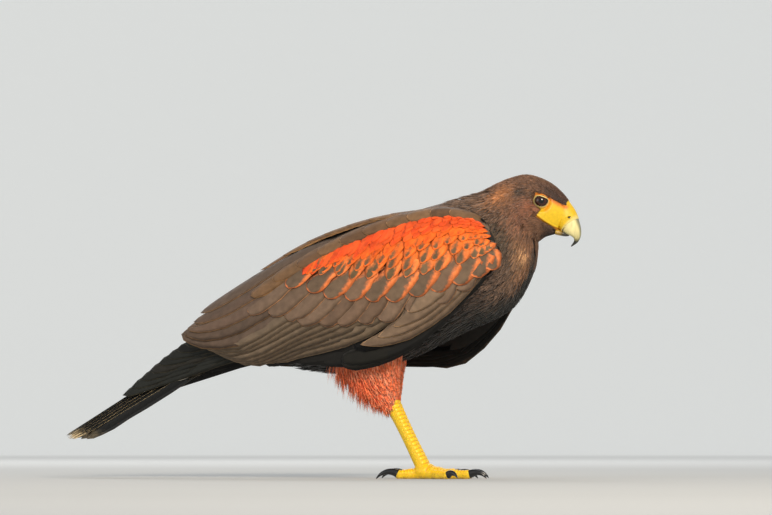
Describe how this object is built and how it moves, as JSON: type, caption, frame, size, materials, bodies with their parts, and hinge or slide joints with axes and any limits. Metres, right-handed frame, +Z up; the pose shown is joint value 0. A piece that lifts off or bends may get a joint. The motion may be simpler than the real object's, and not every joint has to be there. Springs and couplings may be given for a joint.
{
  "type": "harris hawk",
  "caption": "Standing bird of prey with folded wings, hooked bill, long tail and taloned feet, as a still life-size model.",
  "frame": {"origin": "on the floor, under the middle of the bird's length and breadth", "axes": "+X the way the bird faces, +Y to its left, +Z up"},
  "size_m": [0.518, 0.1574, 0.2909],
  "materials": {
    "plumage_head": "soft, matt dark brown contour feathers with rusty streaks",
    "plumage_body": "soft, matt blackish brown contour feathers",
    "wing_feathers": "overlapping vanes, rusty red at the shoulder and grey brown below, with pale edges",
    "tail_feathers": "long black vanes with cream tips, and white coverts at the root",
    "thigh_feathers": "loose, matt rusty red feathers",
    "leg_skin": "yellow skin with satin scutes",
    "bill_horn": "satin horn, pale at the base and dark grey along the ridge and hook",
    "claw_horn": "polished black horn",
    "eye": "wet and clear over a dark brown iris"
  },
  "bodies": {
    "root": {"bill_lower": "bill_horn", "bill_upper": "bill_horn", "claw_hallux_left": "claw_horn", "claw_hallux_right": "claw_horn", "claw_inner_left": "claw_horn", "claw_inner_right": "claw_horn", "claw_middle_left": "claw_horn", "claw_middle_right": "claw_horn", "claw_outer_left": "claw_horn", "claw_outer_right": "claw_horn", "eye_left": "eye", "eye_right": "eye", "foot_left": "leg_skin", "foot_right": "leg_skin", "head": "plumage_head", "neck": "plumage_head", "tail": "tail_feathers", "tarsus_left": "leg_skin", "tarsus_right": "leg_skin", "thigh_left": "thigh_feathers", "thigh_right": "thigh_feathers", "torso": "plumage_body", "wing_left": "wing_feathers", "wing_right": "wing_feathers"}
  },
  "joints": []
}
